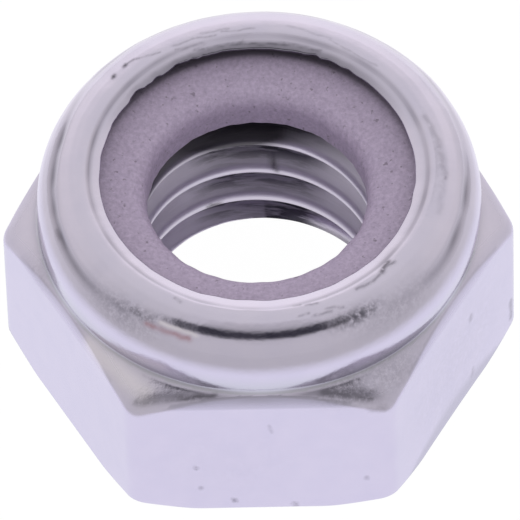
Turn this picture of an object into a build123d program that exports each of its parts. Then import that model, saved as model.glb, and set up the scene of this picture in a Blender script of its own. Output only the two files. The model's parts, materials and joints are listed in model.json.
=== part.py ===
# Nylon insert lock nut for an M6 thread: a hexagon nut whose round collar is crimped over a nylon ring.
# Millimetres. The bearing face lies on z = 0, the thread's axis is Z and the crimped crown is on top.
# Two corners of the hexagon lie on X, so that a flat faces -Y and another faces +Y.
from build123d import *
from math import cos, radians, sin, tan
import os

# Hexagon
across_flats = 9.8  # the size allows 9.78 to 10
corner_radius = 0.45  # round on the six upright corners
draft_height = 3.68  # the flats are upright below this height and lean in above it
draft_angle = 7  # degrees that they lean
shoulder_height = 4.10  # where the top corner chamfer meets the foot of the collar
corner_chamfer_angle = 30  # slope of the top and bottom corner chamfers, in degrees from level
bottom_chamfer_width = 0.558  # how far the bottom chamfer cuts in from the sharp corners

# Collar and crown, from the outside
nut_height = 5.86
collar_inset = 0.05  # the widest part of the collar lies this far inside the flats
collar_foot_inset = 0.05  # and its foot lies this much further in
collar_wall = 0.65
bulge_radius = 1.23  # section radius of the collar's upper side
bulge_angle = 37  # degrees that it turns, before the crown begins
crown_radius = 0.90  # section radius up to the highest circle
lip_radius = 0.50  # section radius where the lip rolls down into the opening
lip_angle = 57  # degrees that it rolls
nose_radius = 0.16  # half the thickness of the lip's edge
lip_droop = 20  # slope of the lip's underside, in degrees

# Thread, bored to its minor diameter, with a countersink at each end
minor_diameter = 5.15
bottom_countersink_diameter = 6.2
bottom_countersink_angle = 45  # slope in degrees from level
top_countersink_diameter = 6.1
top_countersink_angle = 30
seat_height = 4.30  # the face that the ring sits on

# Nylon ring
ring_clearance = 0.03
ring_bore_diameter = 4.82
ring_mouth_diameter = 5.24  # the bore widens to this at the top of the ring
ring_mouth_depth = 0.25
ring_top_fall = 0.16  # the top face falls by this from the lip to the mouth
ring_bottom_chamfer = 0.05

os.makedirs("parts", exist_ok=True)


def on_arc(centre, radius, angle):
    """The point of a circle in the section, at an angle in degrees from outwards, turning up."""
    return (centre[0] + radius * cos(radians(angle)), centre[1] + radius * sin(radians(angle)))


# Derived sizes of the hexagon
corner_reach = across_flats / 2 / cos(radians(30))
chamfer_slope = tan(radians(corner_chamfer_angle))
bearing_radius = corner_reach - bottom_chamfer_width
lean_inset = (seat_height - draft_height) * tan(radians(draft_angle))

# Derived section of the collar: four arcs that follow one another, each tangent to the last
collar_radius = across_flats / 2 - collar_inset
foot_radius = collar_radius - collar_foot_inset
inner_radius = collar_radius - collar_wall
bulge_height = nut_height - crown_radius - (bulge_radius - crown_radius) * sin(radians(bulge_angle))
bulge_centre = (collar_radius - bulge_radius, bulge_height)
crown_centre = on_arc(bulge_centre, bulge_radius - crown_radius, bulge_angle)
lip_centre = (crown_centre[0], nut_height - lip_radius)
lip_end_angle = 90 + lip_angle
nose_centre = on_arc(lip_centre, lip_radius - nose_radius, lip_end_angle)
nose_end_angle = 270 + lip_droop
nose_end = on_arc(nose_centre, nose_radius, nose_end_angle)

# The underside of the lip turns from the upright inner wall to the nose in two flat cones, along this arc
underside_radius = (inner_radius - nose_end[0]) / (1 + sin(radians(lip_droop)))
underside_centre = (inner_radius - underside_radius, nose_end[1] - underside_radius * cos(radians(lip_droop)))
underside_angles = (0, 45 + lip_droop / 2, 90 + lip_droop)

# Derived heights of the bore
minor_radius = minor_diameter / 2
bottom_countersink_radius = bottom_countersink_diameter / 2
top_countersink_radius = top_countersink_diameter / 2
thread_start = (bottom_countersink_radius - minor_radius) * tan(radians(bottom_countersink_angle))
thread_end = seat_height - (top_countersink_radius - minor_radius) * tan(radians(top_countersink_angle))

# ---------------------------------------------------------------- nut body
with BuildPart() as nut_body:
    # Hexagon: upright flats, then flats that lean in
    with BuildSketch() as flats:
        RegularPolygon(across_flats / 2, 6, major_radius=False)
        fillet(flats.vertices(), corner_radius)
    extrude(amount=draft_height)
    with BuildSketch(Plane.XY.offset(draft_height)):
        add(flats.sketch)
    with BuildSketch(Plane.XY.offset(seat_height)) as lean_end:
        RegularPolygon(across_flats / 2 - lean_inset, 6, major_radius=False)
        fillet(lean_end.vertices(), corner_radius)
    loft(ruled=True)

    # Corner chamfers: only what lies inside this turned outline stays
    with BuildSketch(Plane.XZ) as corner_envelope:
        with BuildLine():
            Polyline(
                (0, 0),
                (bearing_radius, 0),
                (corner_reach, bottom_chamfer_width * chamfer_slope),
                (corner_reach, shoulder_height - (corner_reach - foot_radius) * chamfer_slope),
                (foot_radius, shoulder_height),
                (0, shoulder_height),
                close=True,
            )
        make_face()
    revolve(axis=Axis.Z, mode=Mode.INTERSECT)

    # Collar with its crimped crown, and the web that carries the ring
    with BuildSketch(Plane.XZ) as collar_section:
        with BuildLine():
            bulge = CenterArc(bulge_centre, bulge_radius, 0, bulge_angle)
            CenterArc(crown_centre, crown_radius, bulge_angle, 90 - bulge_angle)
            CenterArc(lip_centre, lip_radius, 90, lip_angle)
            nose = CenterArc(nose_centre, nose_radius, lip_end_angle, nose_end_angle - lip_end_angle)
            Polyline(
                nose @ 1,
                on_arc(underside_centre, underside_radius, underside_angles[1]),
                on_arc(underside_centre, underside_radius, underside_angles[0]),
                (inner_radius, seat_height),
                (0, seat_height),
                (0, draft_height),
                (foot_radius, draft_height),
                (foot_radius, shoulder_height),
                bulge @ 0,
            )
        make_face()
    revolve(axis=Axis.Z)

    # Tapped bore with its two countersinks
    with BuildSketch(Plane.XZ) as bore_section:
        with BuildLine():
            Polyline(
                (0, 0),
                (bottom_countersink_radius, 0),
                (minor_radius, thread_start),
                (minor_radius, thread_end),
                (top_countersink_radius, seat_height),
                (0, seat_height),
                close=True,
            )
        make_face()
    revolve(axis=Axis.Z, mode=Mode.SUBTRACT)

nut_body.part.label = "nut_body"
export_step(nut_body.part, "parts/nut_body.step")

# ---------------------------------------------------------------- nylon insert
ring_outer_radius = inner_radius - ring_clearance
ring_bore_radius = ring_bore_diameter / 2
ring_mouth_radius = ring_mouth_diameter / 2
rim = [on_arc(underside_centre, underside_radius - ring_clearance, angle) for angle in underside_angles]
mouth_height = rim[2][1] - ring_top_fall

with BuildPart() as nylon_insert:
    # The ring fills the pocket up to the lip's underside, and its bare top falls towards the bore
    with BuildSketch(Plane.XZ) as ring_section:
        with BuildLine():
            Polyline(
                *rim,
                (ring_mouth_radius, mouth_height),
                (ring_bore_radius, mouth_height - ring_mouth_depth),
                (ring_bore_radius, seat_height + ring_bottom_chamfer),
                (ring_bore_radius + ring_bottom_chamfer, seat_height),
                (ring_outer_radius - ring_bottom_chamfer, seat_height),
                (ring_outer_radius, seat_height + ring_bottom_chamfer),
                close=True,
            )
        make_face()
    revolve(axis=Axis.Z)

nylon_insert.part.label = "nylon_insert"
export_step(nylon_insert.part, "parts/nylon_insert.step")

print(f"thread wall {thread_start:.3f} to {thread_end:.3f}, seat {seat_height:.3f}, bulge at {bulge_height:.3f}")
print(f"lip opening radius {nose_centre[0] - nose_radius:.3f}, ring mouth at {mouth_height:.3f}")
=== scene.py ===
# %% [markdown]
# # A nylon insert lock nut
# The real nut is cold formed from steel bar: a hexagon below, a round collar above. A nylon ring is
# dropped into the collar, and the collar's edge is rolled over it. The thread is cut last, so the
# ring has a plain bore that a screw has to press its way through.
#
# The steel body and the nylon ring are modelled here as two closed meshes, at a thousand times real
# size (one unit is one millimetre), because Blender merges points that lie a micrometre apart in
# metres. Each mesh is brought down to metres at the end.

# %% Load the frame
import bpy
import json
import numpy as np
from math import cos, degrees, hypot, pi, radians, sin, tan
from mathutils import Matrix, Vector, noise

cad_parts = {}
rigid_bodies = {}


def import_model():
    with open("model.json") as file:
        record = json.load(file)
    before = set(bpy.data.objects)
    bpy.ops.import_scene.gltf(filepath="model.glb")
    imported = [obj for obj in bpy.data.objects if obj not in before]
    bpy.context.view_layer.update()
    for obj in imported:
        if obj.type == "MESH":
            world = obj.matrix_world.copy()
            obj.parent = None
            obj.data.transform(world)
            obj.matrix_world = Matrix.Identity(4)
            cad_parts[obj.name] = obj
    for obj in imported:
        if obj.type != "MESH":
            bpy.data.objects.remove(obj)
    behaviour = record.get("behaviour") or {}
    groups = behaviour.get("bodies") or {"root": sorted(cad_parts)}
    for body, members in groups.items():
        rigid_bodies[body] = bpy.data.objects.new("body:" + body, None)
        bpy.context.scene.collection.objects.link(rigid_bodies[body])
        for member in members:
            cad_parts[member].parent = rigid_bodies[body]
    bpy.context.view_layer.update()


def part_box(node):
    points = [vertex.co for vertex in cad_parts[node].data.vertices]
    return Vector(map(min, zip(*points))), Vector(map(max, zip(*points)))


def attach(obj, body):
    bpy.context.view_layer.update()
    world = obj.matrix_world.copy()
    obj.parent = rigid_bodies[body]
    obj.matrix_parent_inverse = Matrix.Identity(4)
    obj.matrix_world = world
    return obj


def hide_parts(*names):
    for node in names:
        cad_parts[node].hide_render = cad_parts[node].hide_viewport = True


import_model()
MM = 0.001  # one millimetre in metres

# %% [markdown]
# ## Sizes
# The overall sizes come from the frame, so that the meshes fill the same space as the solids. The
# rest of the section is given in millimetres.

# %% Sizes of the body
body_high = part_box("nut_body")[1] / MM
HALF_FLATS = body_high.y  # from the axis to a flat
NUT_HEIGHT = body_high.z
CORNER_RADIUS = 0.45
DRAFT_HEIGHT = 3.68  # the flats are upright below this and lean in above it
DRAFT_SLOPE = tan(radians(7))
SHOULDER_HEIGHT = 4.10
CHAMFER_SLOPE = tan(radians(30))
BEARING_RADIUS = HALF_FLATS / cos(radians(30)) - 0.558
COLLAR_RADIUS = HALF_FLATS - 0.05
FOOT_RADIUS = COLLAR_RADIUS - 0.05
FOOT_FILLET = 0.20  # hollow round between the shoulder and the collar
FILLET_TOP = SHOULDER_HEIGHT + FOOT_FILLET * CHAMFER_SLOPE
EDGE = 0.08  # softness of the hexagon's edges
CORNER_EDGE = 0.40  # and of the chamfer's outer end at the corners
print(f"half flats {HALF_FLATS:.3f}, height {NUT_HEIGHT:.3f}, collar {COLLAR_RADIUS:.3f}")

# %% Sizes of the crown, the pocket and the thread
BULGE_RADIUS = 1.23
BULGE_TURN = 37
CROWN_RADIUS = 0.90
LIP_RADIUS = 0.35  # section radius where the crown turns over into the lip
LIP_SLOPE = 19  # degrees that the lip slopes down towards its edge
LIP_EDGE = (3.43, 5.72)  # radius and height of the lip's edge
NOSE_RADIUS = 0.05
LIP_FOOT = (3.654, 5.395)  # where the lip's underside turns into the pocket
LIP_DROOP = 20
INNER_RADIUS = COLLAR_RADIUS - 0.65
SEAT_HEIGHT = 4.30
PITCH = 1.0
MINOR_RADIUS = 2.575
MAJOR_RADIUS = 3.0
BOTTOM_SINK_RADIUS = 3.18
TOP_SINK_RADIUS = 3.05
FACE_GAP = 0.08  # flat ground between a countersink's rim and the first ring of the outside


# %% [markdown]
# ## Points on arcs
# The collar's section is made of arcs that follow one another, each tangent to the last, as a
# forming roller leaves them. One helper gives the points of an arc.

# %% Arc helper and the collar's section
def arc(centre, radius, start, end, count):
    """Points of an arc in the section, at angles in degrees from outwards, turning up."""
    angles = np.radians(np.linspace(start, end, count))
    return [(centre[0] + radius * cos(a), centre[1] + radius * sin(a)) for a in angles]


def collar_section():
    """The collar from its foot, over the crown and the lip, and down into the ring's pocket."""
    bulge_height = (NUT_HEIGHT - CROWN_RADIUS
                    - (BULGE_RADIUS - CROWN_RADIUS) * sin(radians(BULGE_TURN)))
    bulge_centre = (COLLAR_RADIUS - BULGE_RADIUS, bulge_height)
    crown_centre = arc(bulge_centre, BULGE_RADIUS - CROWN_RADIUS, BULGE_TURN, BULGE_TURN, 1)[0]
    lip_centre = (crown_centre[0], NUT_HEIGHT - LIP_RADIUS)
    lip_end = 90 + LIP_SLOPE
    over = arc(lip_centre, LIP_RADIUS, 90, lip_end, 12)
    nose_centre = (LIP_EDGE[0] + NOSE_RADIUS, LIP_EDGE[1] - NOSE_RADIUS * 0.6)
    nose = arc(nose_centre, NOSE_RADIUS, lip_end, 215, 6)
    (r0, z0), (r1, z1) = over[-1], nose[0]
    lip = [(r0 + (r1 - r0) * t, z0 + (z1 - z0) * t) for t in (0.15, 0.3, 0.45, 0.6, 0.75, 0.9)]
    under_radius = (INNER_RADIUS - LIP_FOOT[0]) / (1 + sin(radians(LIP_DROOP)))
    under_centre = (INNER_RADIUS - under_radius,
                    LIP_FOOT[1] - under_radius * cos(radians(LIP_DROOP)))
    waist = [(FOOT_RADIUS + (COLLAR_RADIUS - FOOT_RADIUS) * sin(radians(t)),
              FILLET_TOP + (bulge_height - FILLET_TOP) * t / 90)
             for t in (8, 20, 35, 50, 70)]
    points = waist + arc(bulge_centre, BULGE_RADIUS, 0, BULGE_TURN, 22)
    points += arc(crown_centre, CROWN_RADIUS, BULGE_TURN, 90, 30)[1:]
    points += over[1:] + lip + nose
    points += arc(under_centre, under_radius, 90 + LIP_DROOP, 0, 7)
    points += [(INNER_RADIUS, SEAT_HEIGHT + 0.1), (INNER_RADIUS - 0.1, SEAT_HEIGHT),
               (TOP_SINK_RADIUS + FACE_GAP, SEAT_HEIGHT)]
    return np.array(points), crown_centre, under_centre, under_radius


COLLAR, CROWN_CENTRE, UNDER_CENTRE, UNDER_RADIUS = collar_section()
print("collar section points:", len(COLLAR), "lip opening", round(COLLAR[:, 0].min(), 3))


# %% [markdown]
# ## The hexagon
# A hexagon nut is a round blank with six flats. Seen along the axis, each direction has its own
# distance to the flat, or to the round of a corner. The 30-degree chamfers are cones about the
# axis, and where a cone meets a flat it leaves the curved edge that every nut has. A soft minimum
# of the three gives those edges their small round, at any angle.

# %% Distance to the hexagon and to the chamfers
def soft_min(a, b, width):
    blend = np.maximum(width - np.abs(a - b), 0) / width
    return np.minimum(a, b) - blend * blend * width / 4


def from_corner(theta):
    """The angle between a direction and the nearest corner, at most 30 degrees."""
    sector = radians(60)
    return np.abs((theta + sector / 2) % sector - sector / 2)


def hexagon_reach(theta, half_flats):
    """Distance from the axis to a hexagon with rounded corners."""
    beta = from_corner(theta)
    flat = half_flats / np.cos(radians(30) - beta)
    centre = (half_flats - CORNER_RADIUS) / cos(radians(30))
    inside = np.maximum(CORNER_RADIUS ** 2 - (centre * np.sin(beta)) ** 2, 0)
    corner = centre * np.cos(beta) + np.sqrt(inside)
    tangent = np.arctan2(CORNER_RADIUS / 2, centre + CORNER_RADIUS * cos(radians(30)))
    return np.where(beta < tangent, corner, flat)


def leaning_half_flats(z):
    rise = z - DRAFT_HEIGHT
    return HALF_FLATS - DRAFT_SLOPE * (np.sqrt(rise * rise + 0.02 ** 2) + rise) / 2


def shoulder_reach(z):
    """The cone of the shoulder, running up into the collar in a hollow round."""
    cone = FOOT_RADIUS + (SHOULDER_HEIGHT - z) / CHAMFER_SLOPE
    drop = np.clip(FILLET_TOP - z, 0, FOOT_FILLET)
    hollow = FOOT_RADIUS + FOOT_FILLET - np.sqrt(FOOT_FILLET ** 2 - drop ** 2)
    return np.where(drop < FOOT_FILLET * cos(radians(30)), hollow, cone)


def shoulder_height(reach):
    """The same line, as its height at a distance from the axis."""
    cone = SHOULDER_HEIGHT - (reach - FOOT_RADIUS) * CHAMFER_SLOPE
    out = np.clip(FOOT_RADIUS + FOOT_FILLET - reach, 0, FOOT_FILLET)
    hollow = FILLET_TOP - np.sqrt(FOOT_FILLET ** 2 - out ** 2)
    return np.where(reach < FOOT_RADIUS + FOOT_FILLET / 2, hollow, cone)


def edge_width(theta):
    """The shoulder's edge is worn rounder towards each corner."""
    near_corner = np.exp(-(np.degrees(from_corner(theta)) / 11) ** 2)
    return EDGE + (CORNER_EDGE - EDGE) * near_corner


def outside_reach(theta, z):
    """Distance from the axis to the outside of the hexagonal part."""
    reach = hexagon_reach(theta, leaning_half_flats(z))
    reach = soft_min(reach, BEARING_RADIUS + z / CHAMFER_SLOPE, EDGE)
    reach = soft_min(reach, shoulder_reach(z), edge_width(theta))
    round_off = 0.06
    dip = np.clip(round_off - z, 0, round_off)
    return reach - (round_off - np.sqrt(round_off ** 2 - dip * dip))


# %% [markdown]
# The rings of points follow those edges at every angle, so that no edge is cut across by the mesh.

# %% Rings of the hexagonal part
STEPS = 480  # points around the nut
theta = np.arange(STEPS) * 2 * pi / STEPS


def hexagon_rings():
    """Each ring as (radii, heights) around the nut, from the bottom face to the collar's foot."""
    wall = hexagon_reach(theta, HALF_FLATS)
    chamfer_top = np.maximum((wall - BEARING_RADIUS) * CHAMFER_SLOPE, 0.11)
    edge_top = shoulder_height(wall)
    for _ in range(6):
        edge_top = shoulder_height(hexagon_reach(theta, leaning_half_flats(edge_top)))
    width = edge_width(theta)
    lean_start = np.minimum(DRAFT_HEIGHT, edge_top - 0.7 * width - 0.05)
    heights = [np.full(STEPS, z) for z in (0, 0.004, 0.012, 0.026, 0.044, 0.062)]
    heights += [chamfer_top + step for step in (-0.046, -0.022, 0, 0.022, 0.046)]
    low, high = chamfer_top + 0.046, lean_start - 0.03
    heights += [low + (high - low) * t
                for t in (0.04, 0.08, 0.12, 0.16, 0.24, 0.4, 0.6, 0.8, 0.96)]
    heights += [lean_start + step for step in (-0.03, 0, 0.03)]
    heights += [edge_top + step * width for step in (-0.6, -0.4, -0.2, 0, 0.2, 0.4, 0.6)]
    low, high = edge_top + 0.6 * width, FILLET_TOP
    heights += [low + (high - low) * t for t in (0.1, 0.25, 0.4, 0.55, 0.68, 0.78, 0.86, 0.93, 1)]
    rings = [(outside_reach(theta, z), z) for z in heights]
    bottom_edge = rings[0][0]
    inner = BOTTOM_SINK_RADIUS + FACE_GAP
    flat = [(inner + (bottom_edge - inner) * t, np.zeros(STEPS)) for t in (0, 0.4, 0.8, 0.985)]
    return flat + rings


rings = hexagon_rings()
rings += [(np.full(STEPS, r), np.full(STEPS, z)) for r, z in COLLAR]
radii = np.array([r for r, z in rings])
heights = np.array([z for r, z in rings])
print("rings:", len(rings), "points around:", STEPS)


# %% [markdown]
# ## Working in edit mode
# The blank is turned like on a lathe: one point is drawn along the section by extruding it, and the
# line is then spun about the axis. These helpers start a piece as a single point and draw with it.

# %% Edit-mode helpers
MERGE_DISTANCE = 0.0005


def set_mode(mode):
    bpy.ops.object.mode_set(mode=mode)


def deselect_everything():
    if bpy.context.object and bpy.context.object.mode != "OBJECT":
        set_mode("OBJECT")
    bpy.ops.object.select_all(action="DESELECT")


def start_at(name, r, z):
    """A new object in edit mode, holding one selected point in the XZ plane."""
    deselect_everything()
    bpy.ops.mesh.primitive_plane_add(size=1, location=(0, 0, 0))
    piece = bpy.context.object
    piece.name = name
    piece.data.name = name
    set_mode("EDIT")
    bpy.ops.mesh.select_all(action="SELECT")
    bpy.ops.mesh.merge(type="CENTER")
    bpy.ops.transform.translate(value=(r, 0, z))
    return piece


def draw_through(points):
    """Extrudes the selected point along the rest of the points."""
    for (r0, z0), (r1, z1) in zip(points, points[1:]):
        step = {"value": (r1 - r0, 0, z1 - z0)}
        bpy.ops.mesh.extrude_region_move(TRANSFORM_OT_translate=step)


def wind(piece, steps, turns=1, rise=0.0):
    """Turns the drawn line about the axis with a Screw modifier, rising by so much each turn."""
    set_mode("OBJECT")
    winding = piece.modifiers.new("winding", "SCREW")
    winding.axis = "Z"
    winding.angle = 2 * pi
    winding.screw_offset = rise
    winding.iterations = turns
    winding.steps = steps
    winding.render_steps = steps
    winding.use_merge_vertices = True
    winding.merge_threshold = MERGE_DISTANCE
    bpy.ops.object.modifier_apply(modifier="winding")


def merge_doubles():
    """Joins points that lie on one another. Works in edit mode."""
    bpy.ops.mesh.select_all(action="SELECT")
    bpy.ops.mesh.remove_doubles(threshold=MERGE_DISTANCE)


def select_points(piece, test):
    """Selects the points whose place passes the test. Leaves the piece in edit mode."""
    set_mode("EDIT")
    bpy.ops.mesh.select_mode(type="VERT")
    bpy.ops.mesh.select_all(action="DESELECT")
    set_mode("OBJECT")
    chosen = 0
    for point in piece.data.vertices:
        point.select = bool(test(point.co))
        chosen += point.select
    set_mode("EDIT")
    return chosen


def places(piece):
    """The piece's points as an array, in object mode."""
    co = np.empty(len(piece.data.vertices) * 3)
    piece.data.vertices.foreach_get("co", co)
    return co.reshape(-1, 3)


def move_to(piece, co):
    piece.data.vertices.foreach_set("co", co.ravel())
    piece.data.update()


# %% [markdown]
# ## The blank, and its flats
# The blank is spun from the section at a corner. Each ring of points is then moved in to its own
# place, as a mill would cut the flats.

# %% Turn the blank and mill the flats
corner_section = list(zip(radii[:, 0], heights[:, 0]))
body = start_at("steel_body", *corner_section[0])
draw_through(corner_section)
wind(body, STEPS)


def ring_numbers(piece, section):
    """For each point of a spun piece, the number of its section point."""
    first = places(piece)[:len(section)]
    drawn = np.column_stack([np.hypot(first[:, 0], first[:, 1]), first[:, 2]])
    apart = np.hypot(*(drawn[:, None, :] - np.array(section)[None, :, :]).transpose(2, 0, 1))
    order = apart.argmin(axis=1)
    return np.tile(order, len(piece.data.vertices) // len(section))


co = places(body)
ring = ring_numbers(body, corner_section)
column = np.rint(np.arctan2(co[:, 1], co[:, 0]) / (2 * pi / STEPS)).astype(int) % STEPS
angle = theta[column]
reach = radii[ring, column]
co = np.column_stack([reach * np.cos(angle), reach * np.sin(angle), heights[ring, column]])
move_to(body, co)
print("milled points:", len(co), "columns:", len(set(column)))


# %% [markdown]
# ## The thread
# The thread is an M6 coarse thread: one millimetre of pitch, right handed. One pitch of its section
# is drawn, with the crest and the root rounded as a tap leaves them, and a Screw modifier winds
# it up the bore. Two cuts trim it to the nut's faces.

# %% Wind the thread
CREST_HALF = 0.125  # half the flat of a crest
FLANK_RISE = (MAJOR_RADIUS - MINOR_RADIUS) * tan(radians(30))
CREST_ROUND = 0.19
ROOT_ROUND = 0.06
THREAD_STEPS = 192
THREAD_TURNS = 7
CREST_AT_X = 0.13  # height of a crest's middle where the bore crosses +X


def pitch_section():
    """One pitch of the bore, from the middle of a crest to the middle of the next."""
    crest_tangent = CREST_ROUND * tan(radians(30))
    root_tangent = ROOT_ROUND * tan(radians(30))
    crest = CREST_HALF - crest_tangent
    root = CREST_HALF + FLANK_RISE + root_tangent
    half = [(MINOR_RADIUS, 0)]
    half += arc((MINOR_RADIUS + CREST_ROUND, crest), CREST_ROUND, 180, 120, 7)
    half += arc((MAJOR_RADIUS - ROOT_ROUND, root), ROOT_ROUND, -60, 0, 4)
    return half + [(r, PITCH - z) for r, z in reversed(half)]


section = pitch_section()
thread = start_at("steel_thread", *section[0])
draw_through(section)
wind(thread, THREAD_STEPS, turns=THREAD_TURNS, rise=PITCH)
co = places(thread)
co[:, 2] += CREST_AT_X - 2 * PITCH
move_to(thread, co)
set_mode("EDIT")
merge_doubles()
for height, up in ((0, False), (SEAT_HEIGHT, True)):
    bpy.ops.mesh.select_all(action="SELECT")
    bpy.ops.mesh.bisect(plane_co=(0, 0, height), plane_no=(0, 0, 1), clear_outer=up,
                        clear_inner=not up)
set_mode("OBJECT")
print("thread points:", len(thread.data.vertices))

# %% [markdown]
# The countersinks are cones that open the bore at both ends. Points of the thread that lie inside a
# cone are moved out to it, which leaves the thread's run-out where groove and cone meet.

# %% Countersinks
def countersunk(co):
    reach = np.hypot(co[:, 0], co[:, 1])
    bottom = BOTTOM_SINK_RADIUS - co[:, 2]
    top = TOP_SINK_RADIUS - (SEAT_HEIGHT - co[:, 2]) / tan(radians(30))
    new_reach = -soft_min(-reach, -np.maximum(bottom, top), 0.03)
    new_reach = np.where(co[:, 2] < 0.0001, BOTTOM_SINK_RADIUS, new_reach)
    new_reach = np.where(co[:, 2] > SEAT_HEIGHT - 0.0001, TOP_SINK_RADIUS, new_reach)
    co[:, :2] *= (new_reach / reach)[:, None]
    return co


move_to(thread, countersunk(places(thread)))

# %% Join the thread to the body
ON_FACE = 0.0002  # how near a face's height counts as on it
deselect_everything()
thread.select_set(True)
body.select_set(True)
bpy.context.view_layer.objects.active = body
bpy.ops.object.join()
for height in (0, SEAT_HEIGHT):
    select_points(body, lambda p: abs(p.z - height) < ON_FACE
                  and hypot(p.x, p.y) < BOTTOM_SINK_RADIUS + 0.002)
    bpy.ops.mesh.remove_doubles(threshold=0.012)
    count = select_points(body, lambda p: abs(p.z - height) < ON_FACE
                          and hypot(p.x, p.y) < BOTTOM_SINK_RADIUS + FACE_GAP + 0.002)
    bpy.ops.mesh.select_mode(type="EDGE")
    bpy.ops.mesh.fill(use_beauty=True)
    print("filled at", height, "between", count, "points")
bpy.ops.mesh.select_mode(type="VERT")
bpy.ops.mesh.select_all(action="SELECT")
bpy.ops.mesh.normals_make_consistent(inside=False)
set_mode("OBJECT")
print("body polygons", len(body.data.polygons))


# %% [markdown]
# ## Marks of the making
# The crimping roller leaves no perfect circle. The collar sits a little to one side, a crease shows
# where the crown was rolled over, and a finer one runs beside the lip. The lip's own edge is ragged
# where the metal was thin. These are moves of a few hundredths of a millimetre.

# %% Helpers for marks
def unit(value):
    """Cut off at nothing and at one."""
    return np.clip(value, 0, 1)


def polar(co):
    return np.hypot(co[:, 0], co[:, 1]), np.degrees(np.arctan2(co[:, 1], co[:, 0])) % 360, co[:, 2]


def bell(distance, width):
    """One at the middle, falling to nothing a few widths away."""
    return np.exp(-(distance / width) ** 2)


def turn_from(bearing, middle):
    """How many degrees round the nut a bearing lies from another."""
    return (bearing - middle + 180) % 360 - 180


def ripple(bearing, waves, seed):
    """A smooth uneven value round the nut, about -1 to 1, that closes on itself."""
    table = np.radians(np.arange(0, 360, 0.5))
    span = waves / (2 * pi)
    values = [noise.noise(Vector((span * cos(a), span * sin(a), seed))) for a in table]
    return np.interp(bearing, np.degrees(table), np.array(values) * 2, period=360)


def normals(piece):
    out = np.empty(len(piece.data.vertices) * 3)
    piece.data.vertex_normals.foreach_get("vector", out)
    return out.reshape(-1, 3)


def keep_mask(piece, name, values):
    mask = piece.data.attributes.new(name, "FLOAT", "POINT")
    mask.data.foreach_set("value", unit(values).astype(np.float32))


# %% Crimp marks
SIDE_SHIFT = 0.045  # the collar lies this far to one side,
LIP_SHIFT = (-0.02, -0.04)  # and the lip's opening this far from the collar
CREASE_DEPTH = 0.056
LIP_CREASE_DEPTH = 0.01
FORMING_DEPTH = 0.0022  # fine rings that the roller leaves
RAGGED_DEPTH = 0.075
COLLAR_START = 4.15  # steel above this is the collar's,
PAST_BORE = 3.3  # and further from the axis than this not the bore's

co = places(body)
reach, bearing, height = polar(co)
outward = normals(body)
outside = (height > COLLAR_START) & (reach > PAST_BORE) & ((reach > 4.4) | (height > 5.35))
crown_turn = np.degrees(np.arctan2(height - CROWN_CENTRE[1], reach - CROWN_CENTRE[0]))
on_crown = outside & (outward[:, 2] > 0.05)

at_left = bell(turn_from(bearing, 192), 32)
at_right = bell(turn_from(bearing, 343), 24)
at_back = bell(turn_from(bearing, 90), 75)
crease_middle = 42 - 7 * bell(turn_from(bearing, 215), 16) - 7 * bell(turn_from(bearing, 328), 14)
crease_middle += 9 * bell(turn_from(bearing, 166), 17)
crease_strength = unit(at_left + 0.62 * at_right + 0.40 * at_back)
crease_strength *= 0.85 + 0.3 * ripple(bearing, 40, 3.0)
crease = crease_strength * bell(crown_turn - crease_middle, 7.6) * (crown_turn > 15)
shelf = 0.4 * crease_strength * bell(crown_turn - crease_middle - 11, 6.0)
lip_line = 3.70 + 0.05 * bell(turn_from(bearing, 270), 40) + 0.02 * ripple(bearing, 10, 5.0)
lip_crease = bell(reach - lip_line, 0.055) * (height > 5.6)
lip_crease *= 0.9 + 0.3 * ripple(bearing, 30, 9.0)
forming = np.sin(np.radians(crown_turn * 28 + 25 * ripple(bearing, 6, 4.0))) * (crown_turn > 25)
sink = (CREASE_DEPTH * (crease - 0.5 * shelf) + LIP_CREASE_DEPTH * lip_crease) * on_crown
sink += FORMING_DEPTH * forming * on_crown * (0.25 + 0.75 * np.abs(np.cos(np.radians(bearing))))
wave = 0.004 * ripple(bearing, 24, 1.0) + 0.003 * ripple(bearing, 60, 2.0)
co -= outward * (sink + wave * outside * np.clip(height - 4.2, 0, 0.3) / 0.3)[:, None]

ragged = bell(turn_from(bearing, 128), 22) + 0.6 * bell(turn_from(bearing, 62), 12)
tooth = 0.5 * ripple(bearing, 60, 11.0) + 0.5 * ripple(bearing, 130, 12.0) + 0.55
near_edge = unit((3.64 - reach) / 0.16) * (height > 5.45) * (reach > PAST_BORE)
pull = near_edge * (RAGGED_DEPTH * ragged * tooth + 0.010 * ripple(bearing, 50, 13.0))
co[:, :2] *= ((reach + pull) / reach)[:, None]
co[:, 2] += 0.38 * pull
co[:, 0] += SIDE_SHIFT * outside * unit((height - COLLAR_START) / 0.4)
at_lip = (height > 5.40) * (reach > PAST_BORE) * unit((4.1 - reach) / 0.5)
co[:, :2] += at_lip[:, None] * np.array(LIP_SHIFT)
co[:, 2] = np.minimum(co[:, 2], NUT_HEIGHT)
move_to(body, co)
print("crease up to", sink.max(), "lip moved by", np.abs(pull).max())

# %% Masks of the collar
# Painted shade along the crown's crease and the fine crease beside the lip, the latter strongest at
# the left and right
keep_mask(body, "crease", on_crown * (
    0.95 * crease + lip_crease * (0.30 + 0.28 * np.abs(np.cos(np.radians(bearing))))))
near_flat_middle = bell(from_corner(np.radians(bearing)) - radians(30), radians(9))
keep_mask(body, "waist", bell(np.maximum(height - 4.3, 0), 0.3) * (height > 4.1) * (reach > 4.7))
# Painted shade in the hollow round between the shoulder and the collar, left off at the middle of
# each flat
keep_mask(body, "foot", bell(height - FILLET_TOP + 0.02, 0.13) * (reach < 5.05) * (reach > 4.7)
          * (1 - near_flat_middle))
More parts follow.
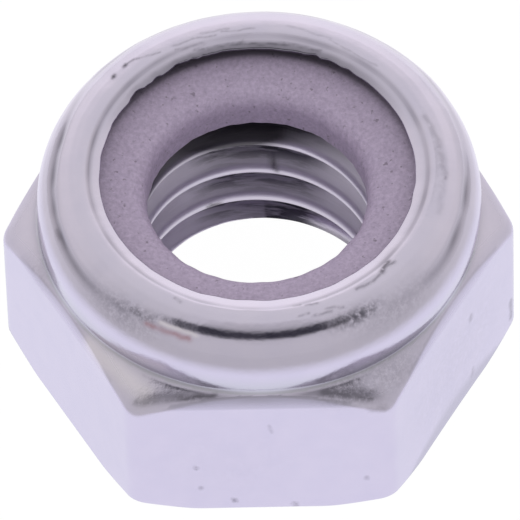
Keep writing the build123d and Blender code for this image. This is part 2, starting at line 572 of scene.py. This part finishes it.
# Painted shade on the lip's edge where it faces in and down
keep_mask(body, "nose", (reach < 3.75) * (height > 5.2)
          * unit((0.35 - outward[:, 2]) / 0.3))
keep_mask(body, "lip_shade", unit(np.sin(np.radians(bearing)) * 1.6 - 0.5)
          * (height > 5.55) * bell(np.maximum(reach - 3.49, 0), 0.12) * (reach > PAST_BORE))
print("attributes on the body:", len(body.data.attributes))

# %% [markdown]
# One flat is rolled under at its lower edge, widest in its middle, and painted shade darkens the
# rolled part.

# %% Rolled edge of one flat
ROLLED_BEARING = 330
ROLLED_SPREAD = 27  # degrees either side of its middle
ROLLED_HEIGHT = 0.80
ROLLED_DEPTH = 0.03
co = places(body)
reach, bearing, height = polar(co)
from_middle = np.abs(turn_from(bearing, ROLLED_BEARING))
tall = ROLLED_HEIGHT * unit(1 - (from_middle / ROLLED_SPREAD) ** 2)
under = unit(1 - height / np.maximum(tall, 0.001)) * (tall > 0.02) * (reach > 4.2)
co[:, :2] *= (1 - under ** 1.4 * ROLLED_DEPTH * (tall / ROLLED_HEIGHT) / reach)[:, None]
move_to(body, co)
# Painted shade on the rolled-under edge
keep_mask(body, "rolled", unit(under * 2))
print("rolled points:", int((under > 0).sum()))


# %% [markdown]
# ## The nylon ring
# The ring is a moulded washer, pressed into the pocket. The rolled lip holds its rim, its bare top
# falls a little towards the bore, and the mouth is rounded.

# %% Turn the ring
RING_CLEARANCE = 0.03
RING_BORE = 2.41
RING_MOUTH = 2.84  # where the top begins to round down into the bore
MOUTH_DEPTH = 0.40
TOP_FALL = 0.16
MOAT = 0.02  # the bare top lies this far below the lip's underside
RING_STEPS = 360


def ring_section():
    """The ring's section, from the rim under the lip, over the top, down the bore and back."""
    under = UNDER_RADIUS - RING_CLEARANCE
    rim = arc(UNDER_CENTRE, under, 0, 90 + LIP_DROOP, 7)
    mouth_height = rim[-1][1] - TOP_FALL
    points = rim[:-1]
    start = (rim[-1][0], rim[-1][1] - MOAT)
    span = RING_MOUTH - start[0]
    drop = mouth_height - start[1]
    points += [(start[0] + span * t, start[1] + drop * t ** 1.3) for t in np.linspace(0, 1, 14)]
    for turn in np.radians(np.linspace(8, 90, 12)):
        points.append((RING_MOUTH - (RING_MOUTH - RING_BORE) * sin(turn),
                       mouth_height - MOUTH_DEPTH * (1 - cos(turn))))
    low = mouth_height - MOUTH_DEPTH
    points += [(RING_BORE, z) for z in np.linspace(low - 0.06, SEAT_HEIGHT + 0.06, 6)]
    points += arc((RING_BORE + 0.05, SEAT_HEIGHT + 0.05), 0.05, 200, 260, 4)
    outer = INNER_RADIUS - RING_CLEARANCE
    points += [(RING_BORE + 0.1, SEAT_HEIGHT), (outer - 0.1, SEAT_HEIGHT)]
    points += arc((outer - 0.05, SEAT_HEIGHT + 0.05), 0.05, 280, 350, 3)
    return points


section = ring_section()
insert = start_at("nylon_ring", *section[0])
draw_through(section + section[:1])
merge_doubles()
wind(insert, RING_STEPS)
set_mode("EDIT")
merge_doubles()
bpy.ops.mesh.normals_make_consistent(inside=False)
set_mode("OBJECT")
ring_co = places(insert)
ring_reach, ring_bearing, ring_height = polar(ring_co)
uneven = 0.014 * ripple(ring_bearing, 60, 21.0) * bell(ring_reach - RING_BORE, 0.10)
ring_co[:, :2] *= (1 + (uneven + 0.004) / ring_reach)[:, None]
move_to(insert, ring_co)
print("ring polygons", len(insert.data.polygons))


# %% [markdown]
# ## Down to real size
# Both meshes are brought from millimetres to metres, with the scale applied, and shaded smooth.

# %% Real size
for piece in (body, insert):
    deselect_everything()
    piece.select_set(True)
    bpy.context.view_layer.objects.active = piece
    bpy.ops.transform.resize(value=(MM, MM, MM), center_override=(0, 0, 0))
    bpy.ops.object.transform_apply(location=True, rotation=True, scale=True)
    bpy.ops.object.shade_smooth()


# %% [markdown]
# ## Materials
# Shader maths is written as Python expressions. A wire stands for one output socket, and its
# operators add the Math nodes.

# %% Shader helpers
class Wire:
    """One output socket of a node tree."""

    def __init__(self, shader, socket):
        self.shader = shader
        self.socket = socket

    def math(self, operation, *others, clamp=False):
        settings = {"operation": operation, "use_clamp": clamp}
        return self.shader.node("Math", settings, dict(enumerate((self,) + others)))

    def __add__(self, other):
        return self.math("ADD", other)

    def __sub__(self, other):
        return self.math("SUBTRACT", other)

    def __rsub__(self, other):
        return self.math("MULTIPLY_ADD", -1.0, other)

    def __mul__(self, other):
        return self.math("MULTIPLY", other)

    def __truediv__(self, other):
        return self.math("DIVIDE", other)

    def clamped(self):
        return self.math("ADD", 0.0, clamp=True)

    __radd__ = __add__
    __rmul__ = __mul__


class Shader:
    """Adds nodes to one material or world."""

    def __init__(self, owner):
        owner.use_nodes = True
        self.tree = owner.node_tree
        self.tree.nodes.clear()

    def node(self, kind, settings=None, inputs=None, output=0):
        made = self.tree.nodes.new("ShaderNode" + kind)
        for name, value in (settings or {}).items():
            if name == "stops":
                self.set_stops(made.color_ramp, value)
            else:
                setattr(made, name, value)
        for name, value in (inputs or {}).items():
            if isinstance(value, Wire):
                self.tree.links.new(value.socket, made.inputs[name])
            else:
                made.inputs[name].default_value = value
        return None if output is None else Wire(self, made.outputs[output])

    def set_stops(self, ramp, stops):
        """A stop is (position, colour) or (position, grey)."""
        while len(ramp.elements) < len(stops):
            ramp.elements.new(0.5)
        for element, (place, colour) in zip(ramp.elements, stops):
            element.position = place
            element.color = grey(colour) if isinstance(colour, float) else colour

    def ramp(self, value, stops):
        return self.node("ValToRGB", {"stops": stops}, {"Fac": value})

    def mix(self, factor, a, b):
        """Mixes two colours."""
        return self.node("Mix", {"data_type": "RGBA"}, {0: factor, 6: a, 7: b}, output=2)

    def noise(self, place, scale, detail=3.0, roughness=0.5, output=0):
        inputs = {"Vector": place, "Scale": scale, "Detail": detail, "Roughness": roughness}
        return self.node("TexNoise", {}, inputs, output)

    def attribute(self, name):
        """A mask kept on the piece's points."""
        return self.node("Attribute", {"attribute_name": name}, output="Fac")

    def vector(self, operation, a, b, output="Vector"):
        return self.node("VectorMath", {"operation": operation}, {0: a, 1: b}, output)

    def scaled(self, vector, factor):
        settings = {"operation": "SCALE"}
        return self.node("VectorMath", settings, {0: vector, "Scale": factor})

    def stroke(self, place, start, end, width):
        """One along a line between two places, falling to nothing at its width."""
        along = end - start
        from_start = self.vector("SUBTRACT", place, start)
        part = along / max(along.length_squared, 0.000001)
        share = self.vector("DOT_PRODUCT", from_start, part, "Value").clamped()
        distance = self.vector("DISTANCE", from_start, self.scaled(along, share), "Value")
        return (distance / -width + 1.0).clamped()

    def millimetres(self):
        """Object coordinates in millimetres."""
        return self.scaled(self.node("TexCoord", output=3), 1 / MM)

    def finish_with(self, surface, kind="OutputMaterial"):
        self.node(kind, {}, {"Surface": surface}, output=None)


def grey(value):
    return (value, value, value, 1.0)


def new_material(name):
    material = bpy.data.materials.new(name)
    return material, Shader(material)


# %% [markdown]
# The steel is bright, and slightly blue-violet where it is plated. The masks say where it is
# darker, rougher or streaked: in the grooves, under the ring and the lip, and along the edges. Much
# of the darkening is painted shade: in the grooves, under the ring and the lip, in the creases and
# the hollow at the collar's foot, and on the flats' leaning band and rolled edge.

# %% Masks that the finish reads
BORE_LIMIT = 3.12  # steel nearer the axis than this is the bore's
DARK_SPREAD = 33  # degrees either side of the back in which painted shade darkens the grooves most,
DARK_FADE = 13  # and over which it fades
CREST_SIDE = 0.05  # how far outside a crest's radius the band beside it lies
LEAD_SPAN = 8  # mm of lead that the mask counts as one
co = places(body) / MM
reach, bearing, height = polar(co)
in_bore = (reach < BORE_LIMIT) & (height < SEAT_HEIGHT + 0.01)
depth_in_groove = unit((reach - MINOR_RADIUS - 0.03) / 0.25)
from_back = np.abs(turn_from(bearing, 90))
at_back = 0.15 + 0.85 * unit((DARK_SPREAD - from_back) / DARK_FADE)
# Painted shade in the thread's grooves, strongest at the back
keep_mask(body, "groove", in_bore * np.maximum(depth_in_groove, height < 0.55) * at_back)
keep_mask(body, "bore", in_bore * 1.0)
keep_mask(body, "lead", (height - PITCH * turn_from(bearing, 90) / 360 + 1) / LEAD_SPAN)
faces_up = normals(body)[:, 2] > 0.15
keep_mask(body, "crest_side",
          in_bore * faces_up * bell(reach - MINOR_RADIUS - CREST_SIDE, 0.06))
# Painted shadow in the bore under the nylon ring, starting lower at the back
shade_start = 3.45 - 0.45 * bell(turn_from(bearing, 98), 22)
keep_mask(body, "under_ring", in_bore * unit((height - shade_start) / 0.30))
flat_distance = reach * np.cos(radians(30) - from_corner(np.radians(bearing)))
on_flat = (flat_distance > leaning_half_flats(height) - 0.03) & (height < SHOULDER_HEIGHT - 0.02)
# Painted shade: the leaning band at the top of the flats is darkened, most on the front flats
lean = unit((height - DRAFT_HEIGHT + 0.03) / 0.12)
keep_mask(body, "lean", on_flat * lean * (0.25 + 0.75 * bell(turn_from(bearing, 270), 32)))
edge_height = shoulder_height(hexagon_reach(np.radians(bearing), leaning_half_flats(height)))
keep_mask(body, "edge", (reach > 4.75) * bell(height - edge_height, 0.13) * (height > 3.2))


# %% [markdown]
# ## Wear
# The nut is a little stained, pitted and scratched. Stains are soft patches and marks are strokes,
# each from one place to another. A place is a bearing in degrees, a distance from the axis and a
# height, both in millimetres. Most are kept on the points. Those of the flats, where the points lie
# further apart, are drawn in the shader. Rubs are long marks with a tint of their own.

# %% Stains and marks
STAINS = (  # name, place, half length round the nut, half width, strength
    ("smear on the crown, front left", (235, 4.49, 5.6), 0.55, 0.14, 0.7),
    ("smear beside it", (229, 4.52, 5.52), 0.4, 0.2, 0.5),
    ("rough patch on the crown, front right", (299, 4.46, 5.66), 0.56, 0.17, 1.0),
    ("rough patch, further right", (310, 4.6, 5.5), 0.55, 0.18, 0.3),
    # the next five only darken the facets beside the collar's foot
    ("dark patch on the front right facet", (292, 5.04, 3.97), 0.6, 0.26, 0.5),
    ("dark patch lower on it", (296, 5.22, 3.84), 0.34, 0.16, 0.4),
    ("darker area high on it", (303, 5.08, 3.96), 0.9, 0.4, 0.3),
    ("dark patch on the front left facet", (253, 5.02, 3.97), 0.34, 0.1, 0.2),
    ("darker area by the left corner", (196, 5.05, 3.95), 0.6, 0.3, 0.2),
    ("dull crown, front left", (230, 4.62, 5.45), 0.9, 0.32, 0.36),
    ("dull crown, front right", (310, 4.62, 5.45), 1.00, 0.32, 0.26),
    ("dull crown, right", (2, 3.84, 5.86), 1.3, 0.2, 0.2),
    ("dull right flat", (330, 4.95, 2.00), 2.3, 1.8, 0.1),
    ("dull front flat", (262, 4.9, 1.6), 1.6, 1.2, 0.04),
)
MARKS = (  # name, from, to, width, darkness
    ("rim pit", (140.2, 4.03, 5.84), (139.6, 4.05, 5.84), 0.06, 0.95),
    ("rim pit by the line", (135.0, 4.07, 5.83), (134.0, 4.09, 5.83), 0.05, 0.9),
    ("rim line, first", (133.5, 4.09, 5.83), (130.5, 4.06, 5.84), 0.03, 0.6),
    ("rim line, dropping", (130.5, 4.06, 5.84), (129.1, 3.97, 5.85), 0.03, 0.5),
    ("rim line, last", (129.1, 3.97, 5.85), (122.6, 3.85, 5.86), 0.026, 0.4),
    ("back line, outer", (107.6, 3.92, 5.86), (98.4, 3.9, 5.86), 0.03, 0.28),
    ("back line, left", (118.0, 3.84, 5.86), (110.5, 3.84, 5.86), 0.032, 0.3),
    ("back line, right", (111.0, 3.83, 5.86), (103.1, 3.79, 5.85), 0.032, 0.3),
    ("back line, middle", (101.0, 3.84, 5.86), (90.3, 3.85, 5.86), 0.03, 0.28),
    ("back line beside the lip", (117.8, 3.75, 5.84), (107.3, 3.66, 5.81), 0.032, 0.3),
    ("back right line", (79.5, 3.98, 5.86), (64.4, 3.9, 5.86), 0.026, 0.22),
    ("back right line, on", (64.4, 3.86, 5.85), (45.7, 3.83, 5.85), 0.026, 0.22),
    ("lip line, left", (112.0, 3.58, 5.79), (94.0, 3.55, 5.77), 0.034, 0.45),
    ("lip line, middle", (98.0, 3.54, 5.77), (78.0, 3.53, 5.77), 0.038, 0.6),
    ("lip line, right", (80.0, 3.55, 5.78), (66.0, 3.55, 5.77), 0.034, 0.45),
    ("right line", (20.0, 3.93, 5.86), (9.5, 4.03, 5.85), 0.07, 0.22),
    ("right line, on", (9.5, 4.03, 5.85), (357.0, 4.11, 5.84), 0.085, 0.25),
    ("right spot", (355.6, 4.12, 5.84), (355.2, 4.12, 5.84), 0.045, 0.45),
    ("right line, end", (354.0, 4.1, 5.84), (342.0, 4.16, 5.83), 0.08, 0.12),
    ("crack by the lip", (317.5, 3.85, 5.85), (312.8, 3.95, 5.86), 0.062, 0.75),
    ("crack, bending", (318.5, 3.95, 5.86), (315.0, 3.9, 5.86), 0.05, 0.6),
    ("crack, down", (312.8, 3.95, 5.86), (308.4, 4.00, 5.86), 0.046, 0.52),
    ("crack, end", (308.4, 4.00, 5.86), (302.5, 3.96, 5.86), 0.042, 0.5),
    ("crown pit", (281.7, 3.8, 5.85), (284.0, 3.84, 5.85), 0.034, 0.4),
    ("crown pit, long", (285.5, 3.88, 5.86), (289.5, 3.9, 5.86), 0.034, 0.4),
    ("crown pit, low", (282.5, 4.12, 5.83), (285.5, 4.1, 5.83), 0.034, 0.38),
    ("crown scratch", (287.0, 4.16, 5.82), (292.0, 4.2, 5.81), 0.036, 0.42),
    ("crown scratch, right", (291.0, 4.1, 5.83), (296.0, 4.18, 5.81), 0.034, 0.38),
    ("nick by the lip", (242.8, 3.92, 5.86), (245.2, 3.94, 5.86), 0.04, 0.35),
    ("kink in the crease", (196.7, 4.55, 5.48), (199.5, 4.56, 5.48), 0.06, 0.3),
    ("broken crest", (110.4, 2.58, 1.41), (115.2, 2.58, 1.42), 0.09, 0.75),
    ("nick in a crest", (83.1, 2.7, 2.56), (81.4, 2.58, 2.4), 0.08, 0.7),
    # the next three are dark streaks on the facets beside the collar's foot
    ("dark streak, front left facet", (240.1, 5.42, 3.71), (250.0, 5.06, 3.94), 0.065, 0.42),
    ("dark streak, on", (250.0, 5.08, 3.93), (258.4, 4.88, 4.05), 0.065, 0.62),
    ("dark streak, front right facet", (286.0, 4.93, 4.03), (297.0, 5.32, 3.78), 0.08, 0.5),
)
FACE_MARKS = (  # the same, for the flats
    ("front spot, left", (253.5, 5.11, 1.57), (253.6, 5.11, 1.5), 0.055, 0.2),
    ("front spot, low left", (254.5, 5.08, 0.82), (254.6, 5.08, 0.75), 0.055, 0.2),
    ("front spot, low", (262.7, 4.94, 0.35), (262.9, 4.94, 0.28), 0.07, 0.28),
    ("front spot, right", (294.9, 5.4, 1.11), (294.9, 5.4, 1.02), 0.055, 0.18),
    ("front spot, lowest", (278.4, 4.95, 0.08), (278.0, 4.95, 0.16), 0.07, 0.2),
    ("front scratch", (272.0, 4.9, 3.05), (272.9, 4.9, 2.8), 0.045, 0.13),
    ("right face spot", (338.5, 4.95, 2.75), (338.7, 4.95, 2.6), 0.08, 0.2),
    ("right face spot, low", (339.5, 4.96, 0.7), (339.2, 4.96, 0.52), 0.08, 0.16),
    ("corner rub", (296.2, 5.44, 3.55), (299.0, 5.54, 3.55), 0.09, 0.14),
    ("dark corner", (357.4, 5.54, 1.15), (357.6, 5.54, 0.55), 0.09, 0.3),
)
RUBS = (  # mask, from, to, width
    ("red_rub", (238.5, 4.56, 5.49), (250.8, 4.56, 5.5), 0.075),
    ("light_rub", (241.9, 4.48, 5.61), (252.8, 4.5, 5.61), 0.055),
    ("light_rub", (222.0, 5.00, 3.98), (241.0, 5.2, 3.86), 0.28),
)


def on_nut(bearing, reach, height):
    """A place given by its bearing, as a point in millimetres."""
    return Vector((reach * cos(radians(bearing)), reach * sin(radians(bearing)), height))


stained = np.zeros(len(co))
for name, place, half_length, half_width, strength in STAINS:
    round_nut = np.radians(turn_from(bearing, place[0])) * place[1] / half_length
    over = np.hypot(reach - place[1], height - place[2]) / half_width
    stained = np.maximum(stained, strength * np.exp(-(round_nut ** 2 + over ** 2)) * (reach > 3.9))
keep_mask(body, "stain", stained)


def off_line(co, start, end):
    """Distance of each point from the line between two places on the nut."""
    start, end = np.array(on_nut(*start)), np.array(on_nut(*end))
    along = end - start
    share = unit((co - start) @ along / max(along @ along, 0.000001))
    return np.linalg.norm(co - start - share[:, None] * along, axis=1)


WOBBLE = 0.013  # mm that a mark strays from its line
MARK_SPREAD = 0.9  # of the width in the mark's row
wobbled = co + WOBBLE * np.sin(co[:, [1, 2, 0]] * 14 + 2 * np.sin(co[:, [2, 0, 1]] * 11))
worn = np.zeros(len(co))
for name, start, end, width, darkness in MARKS:
    worn = np.maximum(worn, darkness * bell(off_line(wobbled, start, end), width * MARK_SPREAD))
keep_mask(body, "worn", worn)
for rub in ("red_rub", "light_rub"):
    lines = [bell(off_line(wobbled, start, end), width * MARK_SPREAD)
             for mask, start, end, width in RUBS if mask == rub]
    keep_mask(body, rub, np.max(lines, axis=0))
print("stains:", len(STAINS), "marks:", len(MARKS) + len(FACE_MARKS))

# %% Mask of the ring
RIM_START = 3.58  # further out than this the ring lies in the lip's shade
ring_co = places(insert) / MM
ring_reach, ring_bearing, ring_height = polar(ring_co)
far_side = unit(np.sin(np.radians(ring_bearing)) * 0.8 + 0.25)
keep_mask(insert, "rim", far_side * bell(np.minimum(ring_reach - RIM_START, 0), 0.10)
          * (ring_height > 4.9))


# %% Steel's tone
GRAIN_DEPTH = 0.00003  # metres
# Mostly painted shade: lean, crease, foot, lip_shade, rolled and nose darken the steel where it
# lies in shade or mirrors something dark; waist tones the collar's waist a little darker
STEEL_TINTS = (  # mask, strength, colour
    ("lean", 0.85, (0.47, 0.44, 0.54, 1)),
    ("crease", 0.95, (0.16, 0.15, 0.19, 1)),
    ("waist", 0.9, (0.69, 0.675, 0.75, 1)),
    ("foot", 0.5, (0.30, 0.28, 0.33, 1)),
    ("lip_shade", 0.68, (0.12, 0.11, 0.14, 1)),
    ("rolled", 0.5, (0.40, 0.38, 0.46, 1)),
    ("nose", 0.85, (0.05, 0.045, 0.055, 1)),
)
STREAK_FINENESS = 130.0  # noise cells across the span of the lead mask
DRIFT = (0.16, 0.16, 0.16)  # mm, how far the strokes on the flats wander
STROKE_SPREAD = 1.5  # of the width in their row
STROKE_GAIN = 1.6


def steel_streaks(shader, place):
    """Noise drawn out along the thread."""
    across = shader.scaled((0.0, 0.0, STREAK_FINENESS), shader.attribute("lead"))
    along = shader.vector("MULTIPLY", place, (0.9, 0.9, 0.0))
    return shader.noise(shader.vector("ADD", along, across), 1.0, detail=4.0, roughness=0.6)


def clean_tone(shader, cloud, streak):
    """The steel's colour before stains and marks, with painted shade under the ring and lip and in
    the creases, hollows and grooves.
    """
    tone = shader.mix(cloud, (0.74, 0.69, 0.84, 1), (0.82, 0.757, 0.89, 1))
    for mask, strength, tint in STEEL_TINTS:
        tone = shader.mix(shader.attribute(mask) * strength, tone, tint)
    streak_dark = ((streak - 0.44) * 8.0).clamped()
    # Painted shade in the thread's grooves, broken by streaks
    in_groove = shader.attribute("groove") * (0.36 + 0.62 * streak_dark)
    tone = shader.mix(in_groove, tone, (0.09, 0.085, 0.11, 1))
    # Painted shadow in the bore under the nylon ring
    return shader.mix(shader.attribute("under_ring") * 0.9, tone, (0.02, 0.018, 0.022, 1))


def worn_tone(shader, place, tone):
    """The same with its stains, rubs and marks."""
    speckle = shader.noise(place, 9.0, detail=4.0, roughness=0.7)
    stain = shader.attribute("stain") * ((speckle - 0.32) * 4.0).clamped()
    tone = shader.mix(stain * 0.9, tone, (0.10, 0.095, 0.125, 1))
    red = shader.attribute("red_rub") * (speckle * 0.7 + 0.45)
    tone = shader.mix(red, tone, (0.52, 0.31, 0.36, 1))
    tone = shader.mix(shader.attribute("light_rub") * 0.9, tone, (0.95, 0.88, 0.95, 1))
    drift = shader.noise(place, 7.0, roughness=0.7, output="Color")
    wander = shader.vector("MULTIPLY", shader.vector("SUBTRACT", drift, (0.5, 0.5, 0.5)), DRIFT)
    drifted = shader.vector("ADD", place, wander)
    worn = shader.attribute("worn")
    for name, start, end, width, darkness in FACE_MARKS:
        mark = shader.stroke(drifted, on_nut(*start), on_nut(*end), width * STROKE_SPREAD)
        worn = worn.math("MAXIMUM", mark * darkness * STROKE_GAIN)
    worn = (worn * ((speckle - 0.22) * 3.6).clamped()).clamped()
    return shader.mix(worn, tone, (0.055, 0.05, 0.065, 1))


# %% Steel finish
def steel_finish():
    material, shader = new_material("plated_steel")
    place = shader.millimetres()
    cloud = shader.noise(place, 1.6, detail=4.0)
    streak = steel_streaks(shader, place)
    tone = worn_tone(shader, place, clean_tone(shader, cloud, streak))
    grain = shader.noise(place, 22.0, detail=3.0, roughness=0.6)
    dents = shader.noise(place, 4.5, detail=3.0, roughness=0.55)
    height = grain * 0.4 + dents * 2.6 + streak * shader.attribute("bore") * 2.0
    bump = shader.node("Bump", {}, {"Strength": 0.07, "Distance": GRAIN_DEPTH, "Height": height})
    rough = cloud * 0.08 + 0.13 + shader.attribute("bore") * 0.15
    rough = rough + shader.attribute("edge") * 0.28 + shader.attribute("crest_side") * 0.35
    surface = shader.node("BsdfPrincipled", {}, {"Base Color": tone, "Metallic": 1.0,
                                                 "Roughness": rough, "Normal": bump})
    shader.finish_with(surface)
    return material


# %% Nylon finish
def nylon_finish():
    material, shader = new_material("moulded_nylon")
    place = shader.millimetres()
    speckle = shader.noise(place, 11.0, detail=4.0, roughness=0.7)
    cloud = shader.noise(place, 1.3, detail=2.0)
    tone = shader.ramp(speckle, [(0.3, (0.465, 0.375, 0.535, 1)), (0.7, (0.70, 0.58, 0.78, 1))])
    tone = shader.mix((cloud - 0.35) * 0.5, tone, (0.60, 0.50, 0.70, 1))
    pits = shader.noise(place, 8.5, detail=2.0, roughness=0.5)
    pit_mask = ((pits - 0.665) * 14.0).clamped()
    tone = shader.mix(pit_mask * 0.55, tone, (0.14, 0.11, 0.15, 1))
    tone = shader.mix(shader.attribute("rim") * 0.88, tone, (0.06, 0.05, 0.07, 1))
    bump = shader.node("Bump", {}, {"Strength": 0.35, "Distance": GRAIN_DEPTH,
                                    "Height": speckle - pit_mask * 0.5})
    surface = shader.node("BsdfPrincipled", {}, {"Base Color": tone, "Roughness": 0.6,
                                                 "Normal": bump})
    shader.finish_with(surface)
    return material


# %% Put the finishes on
for piece, finish in ((body, steel_finish()), (insert, nylon_finish())):
    piece.data.materials.clear()
    piece.data.materials.append(finish)

# %% Fit the pieces to the frame
for piece, node, slot in ((body, "nut_body", "steel"), (insert, "nylon_insert", "nylon")):
    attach(piece, "root")
    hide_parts(node)


# %% [markdown]
# ## Camera
# The camera looks down on the nut from a long way off through a very long lens, so that the hexagon
# hardly narrows with distance.

# %% Camera
PICTURE = 520  # pixels
ELEVATION = radians(53.2)
TURN = radians(0.94)
ROLL = radians(1.85)
DISTANCE = 268.0
FOCAL_PIXELS = 12207
TARGET = Vector((0, 0, 2.64))
SENSOR = 36.0
SHIFT = (1.0, -3.3)  # pixels

back = Vector((sin(TURN) * cos(ELEVATION), -cos(TURN) * cos(ELEVATION), sin(ELEVATION)))
level = Vector((cos(TURN), sin(TURN), 0))
upward = back.cross(level)
right = cos(ROLL) * level - sin(ROLL) * upward
up = sin(ROLL) * level + cos(ROLL) * upward
lens = bpy.data.cameras.new("camera")
lens.sensor_width = SENSOR
lens.lens = FOCAL_PIXELS * SENSOR / PICTURE
lens.shift_x = SHIFT[0] / PICTURE
lens.shift_y = SHIFT[1] / PICTURE
lens.clip_start = 0.01
lens.clip_end = 5.0
camera = bpy.data.objects.new("camera", lens)
camera.matrix_world = (Matrix.Translation((TARGET + back * DISTANCE) * MM)
                       @ Matrix((right, up, back)).transposed().to_4x4())
bpy.context.scene.collection.objects.link(camera)
bpy.context.scene.camera = camera
bpy.context.scene.view_settings.view_transform = "Standard"


# %% [markdown]
# ## Floor and light
# Polished metal is as light or dark as what it mirrors, so the studio is built for its reflections:
# a white pool of floor round the nut that falls off to grey, a grey horizon, a bright sky behind
# and above, and one black flag in front, which draws the thin dark line along the collar.

# %% Floor
FLOOR_SIZE = 0.6  # metres
FLOOR_DROP = 0.00001  # metres below the nut, so that no faces meet
POOL_EDGE = 9.0  # mm from the axis, where the white pool begins to fall off
POOL_END = 16.0
HORIZON = 0.58
POOL_TONE = (0.86, 0.87, 0.95, 1)
SHADE_RADIUS = 3.4  # the floor inside the bore is in the nut's own shade


def any_ray(shader, names):
    """One where the ray is any of the named kinds, else zero."""
    kinds = [shader.node("LightPath", output=name) for name in names]
    seen = kinds[0]
    for kind in kinds[1:]:
        seen = seen.math("MAXIMUM", kind)
    return seen


def floor_finish():
    material, shader = new_material("pale_floor")
    place = shader.millimetres()
    distance = shader.node("VectorMath", {"operation": "LENGTH"}, {0: place}, "Value")
    fall = ((distance - POOL_EDGE) / (POOL_END - POOL_EDGE)).clamped()
    backwards = shader.node("SeparateXYZ", {}, {0: place}, "Y") / distance * 0.5 + 0.5
    near = shader.ramp(backwards, [(0.6, POOL_TONE), (1.0, (1.03, 1.02, 1.04, 1))])
    far = shader.ramp(backwards, [(0.25, 0.56), (0.5, 0.65), (0.82, 0.80), (0.95, 0.96)])
    mirrored = shader.mix(fall, near, far)
    in_shade = ((SHADE_RADIUS + 0.6 - distance) / 1.2).clamped()
    mirrored = shader.mix(in_shade, mirrored, grey(0.80))
    camera_ray = any_ray(shader, ["Is Camera Ray"])
    colour = shader.mix(camera_ray, mirrored, grey(1.03))
    seen = any_ray(shader, ["Is Camera Ray", "Is Glossy Ray", "Is Transmission Ray"])
    lit = shader.node("BsdfDiffuse", {}, {"Color": grey(0.8)})
    white = shader.node("Emission", {}, {"Color": colour})
    shader.finish_with(shader.node("MixShader", {}, {0: seen * 0.96, 1: lit, 2: white}))
    return material


deselect_everything()
bpy.ops.mesh.primitive_plane_add(size=FLOOR_SIZE, location=(0, 0, -FLOOR_DROP))
floor = bpy.context.object
floor.name = "studio_floor"
floor.data.materials.append(floor_finish())

# %% Black flag
FLAG_DISTANCE = 120.0  # mm
FLAG_LOW = 30  # degrees up, at its lower edge
FLAG_HIGH = 86
FLAG_SPREAD = 108  # degrees round the nut
FLAG_MIDDLE = -92  # bearing of its middle
FLAG_SOFT_EDGE = 0.12  # of its width, over which it fades into the sky


def flag_finish():
    """Black in its middle, fading to the sky's own grey at its edges."""
    material, shader = new_material("black_flag")
    across = shader.attribute("across")
    rise = shader.ramp(shader.attribute("up"), [
        (0.0, 0.0), (0.16, 0.12), (0.28, 0.75), (0.34, 1.0),
        (0.50, 1.0), (0.60, 0.50), (0.74, 0.30), (1.0, 0.0)])
    fade_side = (across.math("MINIMUM", 1.0 - across) / FLAG_SOFT_EDGE).clamped()
    colour = shader.mix(rise * fade_side, grey(0.60), (0.008, 0.007, 0.018, 1))
    shader.finish_with(shader.node("Emission", {}, {"Color": colour}))
    return material


edge = arc((0, 0), FLAG_DISTANCE, FLAG_LOW, FLAG_HIGH, 25)
flag = start_at("black_flag", *edge[0])
draw_through(edge)
bpy.ops.mesh.select_all(action="SELECT")
bpy.ops.mesh.spin(steps=24, angle=radians(FLAG_SPREAD), center=(0, 0, 0), axis=(0, 0, 1))
bpy.ops.mesh.select_all(action="SELECT")
bpy.ops.transform.resize(value=(MM, MM, MM), center_override=(0, 0, 0))
set_mode("OBJECT")
x, y, z = places(flag).T
turn = radians(FLAG_MIDDLE - degrees(np.arctan2(y.mean(), x.mean())))
turned = np.column_stack([cos(turn) * x - sin(turn) * y, sin(turn) * x + cos(turn) * y, z])
move_to(flag, turned)
flag_rise = np.degrees(np.arctan2(turned[:, 2], np.hypot(turned[:, 0], turned[:, 1])))
flag_bearing = turn_from(np.degrees(np.arctan2(turned[:, 1], turned[:, 0])), FLAG_MIDDLE)
keep_mask(flag, "up", (flag_rise - FLAG_LOW) / (FLAG_HIGH - FLAG_LOW))
keep_mask(flag, "across", flag_bearing / FLAG_SPREAD + 0.5)
flag.data.materials.append(flag_finish())
flag.visible_camera = False
flag.visible_diffuse = False
flag.visible_shadow = False

# %% World
world = bpy.data.worlds.new("studio")
bpy.context.scene.world = world
shader = Shader(world)
direction = shader.node("TexCoord", output=0)
sideways, forwards, upwards = (shader.node("SeparateXYZ", {}, {0: direction}, axis)
                               for axis in "XYZ")
front = shader.ramp(upwards, [(0.0, HORIZON), (0.95, 0.60), (1.0, 0.68)])
sides = shader.ramp(upwards, [(0.0, 0.64), (0.35, (0.70, 0.69, 0.68, 1)),
                              (0.64, (0.72, 0.71, 0.70, 1)), (0.87, 0.65)])
behind = shader.ramp(upwards, [(0.0, 0.96), (0.45, (0.98, 0.96, 0.96, 1)),
                               (0.62, (0.76, 0.75, 0.75, 1)), (0.78, 0.69), (1.0, 0.68)])
off_middle = sideways.math("ABSOLUTE")
sky = shader.mix(((off_middle - 0.15) / 0.55).clamped(), behind, sides)
sky = shader.mix((forwards * 2.0 + 0.3).clamped(), front, sky)
colour = shader.mix(any_ray(shader, ["Is Camera Ray"]), sky, grey(1.0))
background = shader.node("Background", {}, {"Color": colour})
shader.finish_with(background, "OutputWorld")
